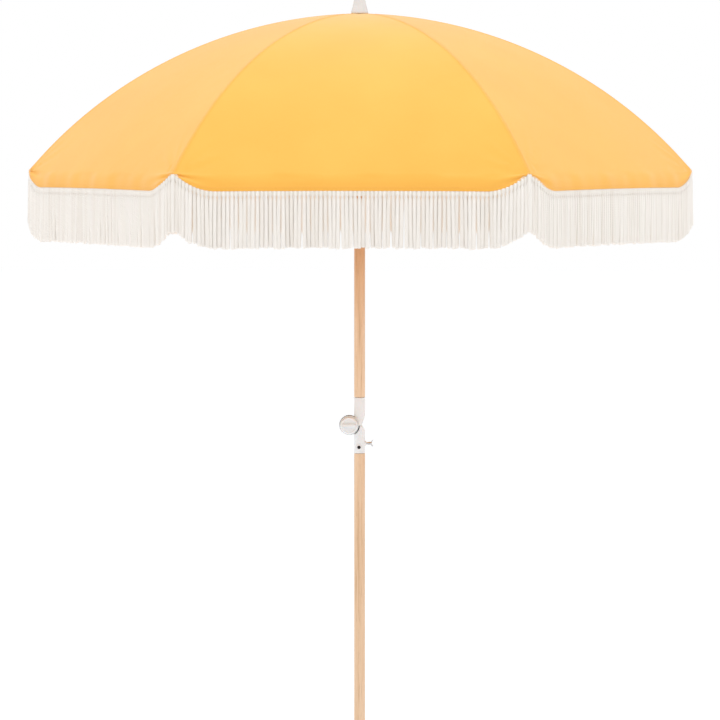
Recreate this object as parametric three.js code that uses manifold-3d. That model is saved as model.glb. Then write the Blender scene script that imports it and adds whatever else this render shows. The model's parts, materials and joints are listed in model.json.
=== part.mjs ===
// Beach umbrella: a six-rib fringed canopy on a two-part wooden pole with a tilting plastic joint.
// Millimetres, +Z up. The pole stands on the Z axis with its point at z = 0. The front is -Y.
// Ribs lie at 0, 60, ... 300 degrees and the six cloth panels are centred between them.
import * as THREE from 'three';
import { mergeVertices } from 'three/addons/utils/BufferGeometryUtils.js';
import Module from 'manifold-3d';

const wasm = await Module();
wasm.setup();

// ---- driving dimensions ----
const GAP = 0.3;                 // fitting gap between pieces that touch
const RIBS = 6;
const CANOPY_R = 900;            // rib tip to pole axis
const DOME_RHO = 1200;           // radius of the arc every rib follows
const DOME_TILT = 0.75;          // slope of the dome at the very top, degrees
const CLOTH_TOP = 2119.5;        // outer face of the cloth at the pole axis
const CLOTH_T = 2;               // cloth solid, thicker than real cloth
const SKIRT_DROP = 48;           // length of cloth that hangs below the line of the rib tips
const SKIRT_END = 86;            // slope of the hem, degrees below level
const FRINGE_L = 148;            // header tape and cords together
const FRINGE_T = 4;
const POLE_R = 15;
const TENON_R = 11;
const TIP_FLAT_R = 6;            // blunt end of the pointed lower pole
const POINT_L = 120;             // length of the taper
const SOCKET_Z = 926;            // bottom of the tilting joint
const SOCKET_TOP = 1000.5;
const UPPER_BOTTOM = 1001.5;
const UPPER_TOP = 1078;
const FITTING_R = 14.8;
const HINGE = { x: -28, z: 1002.5, r: 26 };
const CHEEK_Y = 14;              // outer face of the two cheek discs
const CHEEK_GAP = 1.3;
const HUB = { z: 2088, top: 2112.6, r: 33 };
const RIB_PIVOT = { r: 24, z: 2105 };
const RIB_R = 3.5;
const RIB_DEPTH = 12.5;          // rib centre line below the outer face of the cloth
const CLIP_R = 430;              // radius at which the stretcher meets the rib
const CLIP_DROP = 11;            // stretcher pin below the rib centre line
const STRETCHER_R = 3;
const TONGUE = { t: 4, h: 7, l: 16 };
const FINIAL_Z = 2119.8;

// ---- materials ----
const paint = (color, roughness, metalness = 0) =>
  new THREE.MeshStandardMaterial({ color, roughness, metalness });
const CLOTH = paint(0xf4c15e, 0.85);
const TAPE = paint(0xe3ab4a, 0.9);
const CREAM = paint(0xf1e8d8, 0.95);
const WOOD = paint(0xd9b285, 0.6);
const WHITE = paint(0xe6e6e4, 0.45);
const STEEL = paint(0xb8bcc0, 0.35, 1);
const RIB_PAINT = paint(0xe9e9e6, 0.4, 0.2);
const DARK = paint(0x2c2a2b, 0.5, 0.3);
const FIBRE = paint(0x8d8d8a, 0.9);

// ---- helpers ----
const rad = THREE.MathUtils.degToRad;
const parts = new THREE.Group();

function signedVolume(g) {
  const p = g.attributes.position, ix = g.index.array;
  const a = new THREE.Vector3(), b = new THREE.Vector3(), c = new THREE.Vector3();
  let v = 0;
  for (let k = 0; k < ix.length; k += 3) {
    a.fromBufferAttribute(p, ix[k]);
    b.fromBufferAttribute(p, ix[k + 1]);
    c.fromBufferAttribute(p, ix[k + 2]);
    v += a.dot(b.cross(c));
  }
  return v;
}

// Shared vertices and outward faces.
function weld(geometry) {
  const g = geometry.clone();
  g.deleteAttribute('normal');
  g.deleteAttribute('uv');
  const w = mergeVertices(g, 1e-4);
  if (signedVolume(w) < 0) {
    const ix = w.index.array;
    for (let k = 0; k < ix.length; k += 3) [ix[k], ix[k + 1]] = [ix[k + 1], ix[k]];
  }
  return w;
}

function body(geometry) {
  const w = weld(geometry);
  return new wasm.Manifold(new wasm.Mesh({
    numProp: 3,
    vertProperties: w.attributes.position.array,
    triVerts: new Uint32Array(w.index.array),
  }));
}

function shape(manifold) {
  const mesh = manifold.getMesh();
  const g = new THREE.BufferGeometry();
  g.setAttribute('position', new THREE.Float32BufferAttribute(mesh.vertProperties, 3));
  g.setIndex(Array.from(mesh.triVerts));
  return g;
}

const join = (first, ...rest) => rest.reduce((m, g) => m.add(body(g)), body(first));
const cut = (m, ...tools) => tools.reduce((k, g) => k.subtract(body(g)), m);

function add(name, geometry, material) {
  const g = weld(geometry);
  g.computeVertexNormals();
  const mesh = new THREE.Mesh(g, material.clone());
  mesh.name = name;
  parts.add(mesh);
}

function rod(from, to, r, sides = 16) {
  const a = new THREE.Vector3(...from), b = new THREE.Vector3(...to);
  const g = new THREE.CylinderGeometry(r, r, a.distanceTo(b), sides);
  const q = new THREE.Quaternion().setFromUnitVectors(
    new THREE.Vector3(0, 1, 0), b.clone().sub(a).normalize());
  return g.applyQuaternion(q).translate(...a.add(b).multiplyScalar(0.5).toArray());
}

const block = (x0, x1, y0, y1, z0, z1) => new THREE.BoxGeometry(x1 - x0, y1 - y0, z1 - z0)
  .translate((x0 + x1) / 2, (y0 + y1) / 2, (z0 + z1) / 2);

// Turned piece on the Z axis; the profile is [radius, height] pairs.
const turned = (profile, sides = 24) => new THREE.LatheGeometry(
  profile.map(([r, z]) => new THREE.Vector2(r, z)), sides).rotateX(Math.PI / 2);

const ring = (r0, r1, z0, z1, sides = 24) =>
  turned([[r0, z0], [r1, z0], [r1, z1], [r0, z1], [r0, z0]], sides);

// Flat plate with an outline in X and Z, between y0 and y1.
function plate(outline, y0, y1) {
  const s = new THREE.Shape(outline.map(([x, z]) => new THREE.Vector2(x, z)));
  return new THREE.ExtrudeGeometry(s, { depth: y1 - y0, bevelEnabled: false })
    .rotateX(Math.PI / 2).translate(0, y1, 0);
}

// Closed solid between two faces, each a function of two parameters that run from 0 to 1.
function slab(outer, inner, nu, nv) {
  const pos = [], index = [];
  const id = (layer, i, j) => layer * (nu + 1) * (nv + 1) + i * (nv + 1) + j;
  for (const face of [outer, inner])
    for (let i = 0; i <= nu; i++)
      for (let j = 0; j <= nv; j++) pos.push(...face(i / nu, j / nv));
  const quad = (a, b, c, d) => index.push(a, b, c, a, c, d);
  for (let i = 0; i < nu; i++)
    for (let j = 0; j < nv; j++) {
      quad(id(0, i, j), id(0, i + 1, j), id(0, i + 1, j + 1), id(0, i, j + 1));
      quad(id(1, i, j), id(1, i, j + 1), id(1, i + 1, j + 1), id(1, i + 1, j));
    }
  for (let i = 0; i < nu; i++) {
    quad(id(0, i, 0), id(1, i, 0), id(1, i + 1, 0), id(0, i + 1, 0));
    quad(id(0, i, nv), id(0, i + 1, nv), id(1, i + 1, nv), id(1, i, nv));
  }
  for (let j = 0; j < nv; j++) {
    quad(id(0, 0, j), id(0, 0, j + 1), id(1, 0, j + 1), id(1, 0, j));
    quad(id(0, nu, j), id(1, nu, j), id(1, nu, j + 1), id(0, nu, j + 1));
  }
  const g = new THREE.BufferGeometry();
  g.setAttribute('position', new THREE.Float32BufferAttribute(pos, 3));
  g.setIndex(index);
  return g;
}

const aroundPole = (make, offset = 0) => {
  for (let k = 0; k < RIBS; k++) make(k + 1, (g) => g.clone().rotateZ(rad(offset + 60 * k)));
};

// ---- the dome ----
const ARC = {
  r: -DOME_RHO * Math.sin(rad(DOME_TILT)),
  z: CLOTH_TOP - DOME_RHO * Math.cos(rad(DOME_TILT)),
};
const arcAngle = (r, depth = 0) => Math.asin((r - ARC.r) / (DOME_RHO - depth));
const arcPoint = (angle, depth) => [
  ARC.r + (DOME_RHO - depth) * Math.sin(angle), ARC.z + (DOME_RHO - depth) * Math.cos(angle)];
const RIM = arcAngle(CANOPY_R);
const TAN30 = Math.tan(rad(30)), COS30 = Math.cos(rad(30));

// Share of the full skirt at a place across a panel: none at the rib tips, all of it in the
// middle. It starts level at a tip, drops quickly and flattens out towards the middle.
const PEAK_SHARE = 0.26, PEAK_ROUND = 0.06;
function skirtShare(across) {
  const x = Math.min(1, (1 - Math.abs(across)) / PEAK_SHARE);
  const y = (1 + PEAK_ROUND) * x * x / (x + PEAK_ROUND);
  return y * (2 - y);
}

// Outline of a panel in its own middle plane: down the arc, then over into the hanging skirt.
// Gives distance out, height and slope.
const SKIRT_FROM = 0.86;
const PANEL_TOP = arcAngle(9);
function panelLine(v, across) {
  const angle = PANEL_TOP + (RIM - PANEL_TOP) * Math.min(1, v / SKIRT_FROM);
  const [r, top] = arcPoint(angle, 0);
  const start = Math.atan2(Math.sin(angle), Math.cos(angle) * COS30);
  let s = r * COS30, z = top, slope = start;
  const steps = 12;
  const length = SKIRT_DROP * skirtShare(across) * Math.max(0, v - SKIRT_FROM) / (1 - SKIRT_FROM);
  for (let k = 0; k < steps && length > 0; k++) {
    slope = start + (rad(SKIRT_END) - start) * Math.min(1, (k + 0.5) / steps * length / 36);
    s += Math.cos(slope) * length / steps;
    z -= Math.sin(slope) * length / steps;
  }
  return [s, z, slope];
}

function panelPoint(v, across, depth) {
  const [s, z, slope] = panelLine(v, across);
  const out = s - depth * Math.sin(slope);
  return [out, across * (out * TAN30 - GAP), z - depth * Math.cos(slope)];
}

const hemPoint = (across) => panelPoint(1, across, CLOTH_T / 2);

// ---- canopy panels, seam tapes and fringe ----
const ARC_ROWS = 10, SKIRT_ROWS = 3, COLUMNS = 10;
const acrossAt = (j) => Math.sin((j - 0.5) * Math.PI);
const rowAt = (i) => {
  const row = i * (ARC_ROWS + SKIRT_ROWS);
  return row <= ARC_ROWS ? row / ARC_ROWS * SKIRT_FROM
    : SKIRT_FROM + (row - ARC_ROWS) / SKIRT_ROWS * (1 - SKIRT_FROM);
};
const panelFace = (depth) => (i, j) => panelPoint(rowAt(i), acrossAt(j), depth);
const panel = slab(panelFace(0), panelFace(CLOTH_T), ARC_ROWS + SKIRT_ROWS, COLUMNS);
aroundPole((k, turn) => add(`canopy_panel_${k}`, turn(panel), CLOTH), 30);

const fringeFace = (outward) => (i, j) => {
  const across = acrossAt(j), [s, , z] = hemPoint(across);
  const si = s + outward;
  return [si, across * (si * TAN30 - GAP), z - 2.2 - i * FRINGE_L];
};
const fringe = slab(fringeFace(FRINGE_T / 2), fringeFace(-FRINGE_T / 2), 1, COLUMNS);
aroundPole((k, turn) => add(`fringe_${k}`, turn(fringe), CREAM), 30);

const TAPE_HALF = 16, TAPE_DEPTH = 4, TAPE_T = 1.2;
const tapeFace = (depth) => (i, j) => {
  const y = (2 * j - 1) * TAPE_HALF;
  const [r, z] = arcPoint(arcAngle(70) + (arcAngle(850) - arcAngle(70)) * i, depth);
  return [r - Math.abs(y) * TAN30, y, z];
};
const tape = slab(tapeFace(TAPE_DEPTH), tapeFace(TAPE_DEPTH + TAPE_T), 12, 2);
aroundPole((k, turn) => add(`seam_tape_${k}`, turn(tape), TAPE));

// ---- ribs, tip caps and clips ----
// Centre line of a rib: it leaves its pin lower down and closes on the cloth further out.
function ribPoint(angle) {
  const start = arcAngle(RIB_PIVOT.r + 3), settle = rad(11);
  const high = CLOTH_TOP - RIB_PIVOT.z;
  const x = Math.min(1, (angle - start) / settle), ease = x * x * (3 - 2 * x);
  return arcPoint(angle, high + (RIB_DEPTH - high) * ease);
}

class RibPath extends THREE.Curve {
  constructor(from, to) { super(); this.from = from; this.to = to; }
  getPoint(t, target = new THREE.Vector3()) {
    const [r, z] = ribPoint(this.from + (this.to - this.from) * t);
    return target.set(r, 0, z);
  }
}

const octagon = (r) => new THREE.Shape(Array.from({ length: 8 }, (_, k) =>
  new THREE.Vector2(r * Math.cos(k * Math.PI / 4), r * Math.sin(k * Math.PI / 4))));
const RIB_END = 892;
const ribRod = new THREE.ExtrudeGeometry(octagon(RIB_R), {
  steps: 14, bevelEnabled: false,
  extrudePath: new RibPath(arcAngle(RIB_PIVOT.r + 3), arcAngle(RIB_END)),
});
const P = RIB_PIVOT;
const eye = (x, z, r, t, sides = 12) => rod([x, -t / 2, z], [x, t / 2, z], r, sides);
const rib = shape(cut(join(ribRod, eye(P.r, P.z, 5, 5)), eye(P.r, P.z, 1.9, 20, 8)));
aroundPole((k, turn) => add(`rib_${k}`, turn(rib), RIB_PAINT));

const tipAngle = arcAngle(RIB_END);
const along = (angle, distance, drop = 0) => {
  const [r, z] = ribPoint(angle);
  return [r + distance * Math.cos(angle) - drop * Math.sin(angle), 0,
    z - distance * Math.sin(angle) - drop * Math.cos(angle)];
};
const capOuter = rod(along(tipAngle, -24), along(tipAngle, 4), 5.8, 10);
const capHole = rod(along(tipAngle, -30), along(tipAngle, 0.4), RIB_R + 1, 10);
const cap = shape(cut(body(capOuter), capHole));
aroundPole((k, turn) => add(`rib_tip_cap_${k}`, turn(cap), WHITE));

const clipAngle = arcAngle(CLIP_R, RIB_DEPTH);
const clipFrame = (g) => {
  const [x, , z] = along(clipAngle, 0);
  return g.rotateY(clipAngle).translate(x, 0, z);
};
const [QX, , QZ] = along(clipAngle, 0, CLIP_DROP);
const clip = shape(
  cut(body(clipFrame(block(-8, 8, -5.4, 5.4, -15.5, 5))),
    clipFrame(rod([-20, 0, 0], [20, 0, 0], RIB_R + 0.7, 10)),
    clipFrame(block(-20, 20, -2.4, 2.4, -30, -5.6)))
    .add(body(rod([QX, -4, QZ], [QX, 4, QZ], 1.6, 8))));
aroundPole((k, turn) => add(`rib_clip_${k}`, turn(clip), WHITE));

// ---- stretchers ----
// Each is as long as the distance from rib pin to clip pin, so its foot stays at the rib pin radius.
const REACH = QX - P.r, RISE = P.z - QZ;
const REST = Math.atan2(RISE, REACH);
const SPAN = Math.hypot(REACH, RISE);
const FOOT = { r: P.r, z: P.z - 2 * RISE };
const stretcherFrame = (g) => g.rotateY(-REST).translate(FOOT.r, 0, FOOT.z);
const stretcher = shape(cut(join(
  stretcherFrame(rod([TONGUE.l - 4, 0, 0], [SPAN - TONGUE.l + 4, 0, 0], STRETCHER_R, 8)),
  stretcherFrame(block(0, TONGUE.l, -TONGUE.t / 2, TONGUE.t / 2, -TONGUE.h / 2, TONGUE.h / 2)),
  stretcherFrame(block(SPAN - TONGUE.l, SPAN, -TONGUE.t / 2, TONGUE.t / 2, -TONGUE.h / 2,
    TONGUE.h / 2)),
  eye(FOOT.r, FOOT.z, TONGUE.h / 2 + 0.6, TONGUE.t),
  eye(QX, QZ, TONGUE.h / 2 + 0.6, TONGUE.t),
  rod([FOOT.r, -5, FOOT.z], [FOOT.r, 5, FOOT.z], 2, 8),
), eye(QX, QZ, 2, 20, 8)));
aroundPole((k, turn) => add(`stretcher_${k}`, turn(stretcher), RIB_PAINT));

// ---- crown ----
let hub = cut(body(ring(10.4, HUB.r, HUB.z, HUB.top, 36)),
  ring(P.r - 1.9, P.r + 1.9, P.z - 1.9, HUB.top + 5, 36));
const hubSlot = block(17.5, 60, -4, 4, HUB.z - 10, HUB.top + 10);
aroundPole((k, turn) => { hub = cut(hub, turn(hubSlot)); });
add('crown_hub', shape(hub), WHITE);
add('crown_ring_wire', new THREE.TorusGeometry(P.r, 1.5, 6, 36).translate(0, 0, P.z), STEEL);
add('crown_washer', ring(6.4, 30, 2113.2, 2114.8, 16), WHITE);

const finialOuter = turned([
  [0, 0], [23.5, 0], [23.3, 4], [22, 9], [20.8, 14], [18.9, 20], [17.3, 27], [15.6, 36],
  [13.4, 46], [11.9, 54], [10.8, 61], [8.6, 68], [5, 73], [0, 75]], 18).translate(0, 0, FINIAL_Z);
add('finial', shape(cut(body(finialOuter), rod([0, 0, FINIAL_Z - 5], [0, 0, 2150], 6.4, 16))),
  WHITE);

// ---- runner with bottom-open seats for the six stretcher feet ----
const RUNNER = { bore: POLE_R + 0.7, sleeve: 19.4, flange: 32, bottom: -58, top: 9.5 };
const runnerBody = turned([
  [RUNNER.bore, RUNNER.bottom], [18.6, RUNNER.bottom], [RUNNER.sleeve, -55],
  [RUNNER.sleeve, -18], [21, -12], [RUNNER.flange, -10], [RUNNER.flange, 8],
  [30, RUNNER.top], [RUNNER.bore, RUNNER.top], [RUNNER.bore, RUNNER.bottom]], 24)
  .translate(0, 0, FOOT.z);
let runner = body(runnerBody);
const footSlot = block(19.2, 60, -2.5, 2.5, FOOT.z - 70, FOOT.z + 30);
const pinSeat = block(21.5, 26.5, -5.5, 5.5, FOOT.z - 70, FOOT.z + 2.4);
const flangeOnly = block(-60, 60, -60, 60, FOOT.z - 42, FOOT.z + 30);
const slots = [];
aroundPole((k, turn) => slots.push(turn(footSlot), turn(pinSeat)));
runner = cut(runner, ...slots.map((g) => shape(body(g).intersect(body(flangeOnly)))));
add('runner', shape(runner), WHITE);

// ---- upper pole, with the spring catch that holds the runner up ----
// The catch is a bent leaf: root in the pole's slot, nose out under the runner, width across.
const CATCH = { bottom: FOOT.z - 104, top: FOOT.z - 60, root: -7.4, nose: -19.5, width: 4.4 };
const upperPole = cut(body(turned([
  [0, 1036], [TENON_R, 1036], [TENON_R, UPPER_TOP + GAP], [POLE_R, UPPER_TOP + GAP],
  [POLE_R, HUB.z - GAP], [10, HUB.z - GAP], [10, 2112.9], [6, 2112.9], [6, 2147], [0, 2147]])),
  block(-2.6, 2.6, -30, -7, CATCH.bottom - 1, CATCH.top + 1));
add('upper_pole', shape(upperPole), WOOD);
const catchOutline = new THREE.Shape([
  [CATCH.root, 0], [CATCH.root - 7, 0], [CATCH.nose, 38], [CATCH.nose, 44],
  [CATCH.nose + 7, 44], [CATCH.nose + 7, 34],
].map(([y, z]) => new THREE.Vector2(y, CATCH.bottom + z)));
add('runner_catch', new THREE.ExtrudeGeometry(catchOutline,
  { depth: CATCH.width, bevelEnabled: false })
  .applyMatrix4(new THREE.Matrix4().makeBasis(
    new THREE.Vector3(0, 1, 0), new THREE.Vector3(0, 0, 1), new THREE.Vector3(1, 0, 0)))
  .translate(-CATCH.width / 2, 0, 0), STEEL);

// ---- tilting joint ----
// The two fittings are cut back to a V on the side away from the hinge.
const NOTCH_X = 6, NOTCH_TOP = 1031, NOTCH_BOTTOM = 986;
const cheek = (y0, y1, r = HINGE.r) =>
  rod([HINGE.x, y0, HINGE.z], [HINGE.x, y1, HINGE.z], r, 30);
const tube = (z0, z1, r) => rod([0, 0, z0], [0, 0, z1], r, 24);
add('tilt_joint_upper', shape(cut(
  join(tube(UPPER_BOTTOM, UPPER_TOP, FITTING_R), cheek(-CHEEK_Y, -CHEEK_GAP)),
  cheek(-CHEEK_GAP, 30, HINGE.r + 0.9),
  cheek(-30, 30, 4.4),
  plate([[NOTCH_X, UPPER_BOTTOM - 1], [16, NOTCH_TOP], [16, UPPER_BOTTOM - 1]], -20, 20),
  tube(1034, UPPER_TOP + 5, TENON_R + GAP))), WHITE);

const WING_Z = 952.5, RIVET = { x: -1.4, z: 942.5 };
add('tilt_joint_lower', shape(cut(
  cut(join(tube(SOCKET_Z, SOCKET_TOP, FITTING_R)), cheek(-30, CHEEK_GAP, HINGE.r + 0.9))
    .add(body(cheek(CHEEK_GAP, CHEEK_Y)))
    .add(body(plate([[-20, 990], [-14.2, 980], [-8, 958], [0, 958], [0, 988]], CHEEK_GAP, 11)))
    .add(body(rod([8, 0, WING_Z], [18, 0, WING_Z], 6.6, 16)))
    .add(body(rod([RIVET.x, -8, RIVET.z], [RIVET.x, -16, RIVET.z], 8.2, 16))),
  cheek(-30, 30, 4.4),
  plate([[NOTCH_X, SOCKET_TOP + 1], [16, NOTCH_BOTTOM], [16, SOCKET_TOP + 1]], -20, 20),
  tube(SOCKET_Z - 5, 973, TENON_R + GAP),
  rod([0, 0, WING_Z], [30, 0, WING_Z], 3.4, 12),
  rod([RIVET.x, 0, RIVET.z], [RIVET.x, -30, RIVET.z], 2.9, 12))), WHITE);

add('friction_washer', ring(4.4, 22, -1, 1, 16).rotateX(Math.PI / 2)
  .translate(HINGE.x, 0, HINGE.z), FIBRE);
add('tilt_bolt', shape(join(cheek(-22, 16, 4),
  rod([HINGE.x, CHEEK_Y + GAP, HINGE.z], [HINGE.x, 18.5, HINGE.z], 9, 16))), STEEL);

const knobBody = turned([[0, 0], [21.6, 0], [23.2, 1.5], [23.2, 9.5], [21, 12.4], [0, 13]], 28)
  .rotateX(Math.PI / 2).translate(HINGE.x, -CHEEK_Y - GAP, HINGE.z);
add('tilt_knob', shape(cut(join(knobBody,
  block(HINGE.x - 18, HINGE.x + 18, -33, -25, HINGE.z - 4, HINGE.z + 4)),
cheek(-23, 0, 4.4))), WHITE);

const wing = (side) => [[29.5, side * 1.5], [32.8, side * 1.5], [37.2, side * 7.6],
  [36, side * 9.4], [33.4, side * 8.8]];
add('wing_screw', shape(join(rod([TENON_R + 0.6, 0, WING_Z], [30, 0, WING_Z], 3, 12),
  rod([22.5, 0, WING_Z], [33, 0, WING_Z], 3.9, 12),
  plate(wing(1), -1.5, 1.5).translate(0, 0, WING_Z),
  plate(wing(-1), -1.5, 1.5).translate(0, 0, WING_Z))), STEEL);
add('socket_rivet', shape(join(
  rod([RIVET.x, -TENON_R - 0.6, RIVET.z], [RIVET.x, -17, RIVET.z], 2.5, 10),
  rod([RIVET.x, -16.3, RIVET.z], [RIVET.x, -18.2, RIVET.z], 4.7, 14))), DARK);

// ---- lower pole ----
add('lower_pole', turned([
  [0, 0], [TIP_FLAT_R, 0], [POLE_R, POINT_L], [POLE_R, SOCKET_Z - GAP],
  [TENON_R, SOCKET_Z - GAP], [TENON_R, 970], [0, 970]]), WOOD);

export default parts;
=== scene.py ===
import json
import math
from math import cos, pi, radians, sin, tan

import bmesh
import bpy
from mathutils import Matrix, Vector

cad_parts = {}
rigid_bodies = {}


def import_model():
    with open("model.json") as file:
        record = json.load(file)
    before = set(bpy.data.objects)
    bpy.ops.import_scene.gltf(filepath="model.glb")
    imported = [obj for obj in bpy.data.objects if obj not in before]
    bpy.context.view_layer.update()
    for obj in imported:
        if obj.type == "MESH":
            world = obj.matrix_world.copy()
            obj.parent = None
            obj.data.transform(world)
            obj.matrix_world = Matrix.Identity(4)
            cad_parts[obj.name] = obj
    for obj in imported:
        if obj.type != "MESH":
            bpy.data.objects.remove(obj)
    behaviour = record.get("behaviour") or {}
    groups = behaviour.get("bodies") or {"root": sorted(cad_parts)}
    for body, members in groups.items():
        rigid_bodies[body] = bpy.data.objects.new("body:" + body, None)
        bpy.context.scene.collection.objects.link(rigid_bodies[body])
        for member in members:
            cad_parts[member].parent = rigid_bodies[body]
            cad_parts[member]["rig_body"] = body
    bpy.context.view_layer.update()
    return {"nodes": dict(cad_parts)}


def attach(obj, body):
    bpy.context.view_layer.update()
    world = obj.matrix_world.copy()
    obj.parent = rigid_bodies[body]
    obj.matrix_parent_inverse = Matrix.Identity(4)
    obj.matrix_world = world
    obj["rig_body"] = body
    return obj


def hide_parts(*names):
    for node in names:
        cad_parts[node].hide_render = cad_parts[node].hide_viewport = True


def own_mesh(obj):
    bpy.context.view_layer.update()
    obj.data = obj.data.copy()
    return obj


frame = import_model()

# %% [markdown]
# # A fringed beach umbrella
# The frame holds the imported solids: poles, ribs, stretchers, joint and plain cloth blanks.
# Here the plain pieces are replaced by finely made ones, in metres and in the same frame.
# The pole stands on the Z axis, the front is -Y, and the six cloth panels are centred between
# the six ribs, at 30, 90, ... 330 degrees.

# %% [markdown]
# ## Studio
# A long lens from well back keeps the umbrella nearly parallel. The eye is just above the rib
# tips, so the dome is seen from the side and the underside stays hidden. The world is white and
# soft. A broad lamp above and a weak one in front light the dome, and one on each side gives the
# side panels their shape.

# %% Camera
EYE_BACK = 10.8
EYE_TURN = radians(1.6)
EYE = Vector((EYE_BACK * sin(EYE_TURN), -EYE_BACK * cos(EYE_TURN), 1.81))
AIM = Vector((0.001, 0, 1.18))

camera_data = bpy.data.cameras.new("camera")
camera_data.lens = 198.6
camera_data.sensor_width = 36
camera_data.clip_end = 60
camera = bpy.data.objects.new("camera", camera_data)
camera.location = EYE
camera.rotation_euler = (AIM - EYE).to_track_quat("-Z", "Y").to_euler()
bpy.context.scene.collection.objects.link(camera)
bpy.context.scene.camera = camera
print("camera", [round(x, 3) for x in EYE])

# %% World, lamps and floor
world = bpy.data.worlds.new("studio")
bpy.context.scene.world = world
world.use_nodes = True
sky = world.node_tree
for old in list(sky.nodes):
    sky.nodes.remove(old)
sky_out = sky.nodes.new("ShaderNodeOutputWorld")
mixed = sky.nodes.new("ShaderNodeMixShader")
seen = sky.nodes.new("ShaderNodeBackground")
lighting = sky.nodes.new("ShaderNodeBackground")
rays = sky.nodes.new("ShaderNodeLightPath")
seen.inputs["Color"].default_value = (1, 1, 1, 1)
lighting.inputs["Color"].default_value = (0.985, 0.99, 1, 1)
lighting.inputs["Strength"].default_value = 0.72
sky.links.new(rays.outputs["Is Camera Ray"], mixed.inputs["Fac"])
sky.links.new(lighting.outputs[0], mixed.inputs[1])
sky.links.new(seen.outputs[0], mixed.inputs[2])
sky.links.new(mixed.outputs[0], sky_out.inputs[0])


def area_lamp(name, place, target, size, watts):
    data = bpy.data.lights.new(name, "AREA")
    data.size = size
    data.energy = watts
    lamp = bpy.data.objects.new(name, data)
    lamp.location = place
    lamp.rotation_euler = (Vector(target) - Vector(place)).to_track_quat("-Z", "Y").to_euler()
    bpy.context.scene.collection.objects.link(lamp)


area_lamp("top_lamp", (0.2, -1.2, 6.2), (0, 0, 2.0), 3.2, 122)
area_lamp("front_lamp", (-3.0, -7.0, 2.6), (0, 0, 1.3), 2.6, 20)
area_lamp("left_lamp", (-6.0, -1.5, 3.6), (0, 0, 1.8), 2.4, 44)
area_lamp("right_lamp", (6.0, -1.5, 3.6), (0, 0, 1.8), 2.4, 44)
bpy.context.scene.view_settings.view_transform = "Standard"

floor_mesh = bpy.data.meshes.new("floor")
floor_mesh.from_pydata([(-40, -40, -0.002), (40, -40, -0.002), (40, 40, -0.002),
                        (-40, 40, -0.002)], [], [(0, 1, 2, 3)])
floor = bpy.data.objects.new("floor", floor_mesh)
bpy.context.scene.collection.objects.link(floor)
floor_paint = bpy.data.materials.new("floor_paint")
floor_paint.use_nodes = True
floor_shader = floor_paint.node_tree.nodes["Principled BSDF"]
floor_shader.inputs["Base Color"].default_value = (0.93, 0.93, 0.93, 1)
floor_shader.inputs["Roughness"].default_value = 0.9
floor_shader.inputs["Emission Color"].default_value = (1, 1, 1, 1)
floor_shader.inputs["Emission Strength"].default_value = 0.34
floor_mesh.materials.append(floor_paint)

# %% [markdown]
# ## Finishes
# Every material is a small node tree: one or two patterns drive colour, roughness and bump.
# The helpers below keep each tree short. Cloth and cords read a UV map measured in metres, so
# a thread has the same width everywhere. Hard pieces read object coordinates.

# %% Helpers for materials


class Finish:
    """A Principled material and short calls that add nodes to it."""

    def __init__(self, name, colour, roughness, **sockets):
        self.material = bpy.data.materials.new(name)
        self.material.use_nodes = True
        self.tree = self.material.node_tree
        self.shader = self.tree.nodes["Principled BSDF"]
        self.shader.inputs["Base Color"].default_value = (*colour, 1)
        self.shader.inputs["Roughness"].default_value = roughness
        for socket, value in sockets.items():
            self.shader.inputs[socket.replace("_", " ")].default_value = value

    def add(self, kind, inputs=(), **settings):
        made = self.tree.nodes.new("ShaderNode" + kind)
        for key, value in settings.items():
            setattr(made, key, value)
        for key, value in dict(inputs).items():
            self.put(made.inputs[key], value)
        return made

    def put(self, socket, value):
        if isinstance(value, bpy.types.NodeSocket):
            self.tree.links.new(value, socket)
        else:
            socket.default_value = value

    def coords(self, uv=False, scale=(1, 1, 1)):
        source = self.add("TexCoord").outputs["UV" if uv else "Object"]
        return self.add("Mapping", {"Vector": source, "Scale": scale}).outputs[0]

    def noise(self, vector, scale, detail=3.0, roughness=0.55):
        return self.add("TexNoise", {"Vector": vector, "Scale": scale, "Detail": detail,
                                     "Roughness": roughness}).outputs["Fac"]

    def ramp(self, factor, stops):
        made = self.add("ValToRGB", {"Fac": factor})
        band = made.color_ramp
        while len(band.elements) < len(stops):
            band.elements.new(0.5)
        for element, (place, colour) in zip(band.elements, stops):
            element.position = place
            element.color = (*colour, 1)
        return made.outputs["Color"]

    def math(self, operation, a, b=0.0, c=0.0):
        return self.add("Math", {0: a, 1: b, 2: c}, operation=operation).outputs[0]

    def bump(self, height, distance, strength=1.0, after=None):
        made = self.add("Bump", {"Height": height, "Distance": distance, "Strength": strength})
        if after is not None:
            self.put(made.inputs["Normal"], after)
        return made.outputs[0]

    def colour(self, value):
        self.put(self.shader.inputs["Base Color"], value)

    def rough(self, value):
        self.put(self.shader.inputs["Roughness"], value)

    def normal(self, value):
        self.put(self.shader.inputs["Normal"], value)


# %% [markdown]
# ## Cloth of the canopy
# The canopy is a tight plain weave of polyester and cotton, dyed golden yellow. Threads run
# along and across each panel. A fine sine in each direction gives the weave, long soft noise
# gives slubs and uneven dye, and a little sheen stands for the fuzz that catches the light.

# %% Canopy cloth
THREAD = 0.0006


def weave(finish, vector, pitch, depth):
    """Bump of a plain weave: the product of one sine along and one across."""
    split = finish.add("SeparateXYZ", {0: vector})
    turn = 2 * pi / pitch
    along = finish.math("SINE", finish.math("MULTIPLY", split.outputs[0], turn))
    across = finish.math("SINE", finish.math("MULTIPLY", split.outputs[1], turn))
    return finish.bump(finish.math("MULTIPLY", along, across), depth, 0.35)


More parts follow.
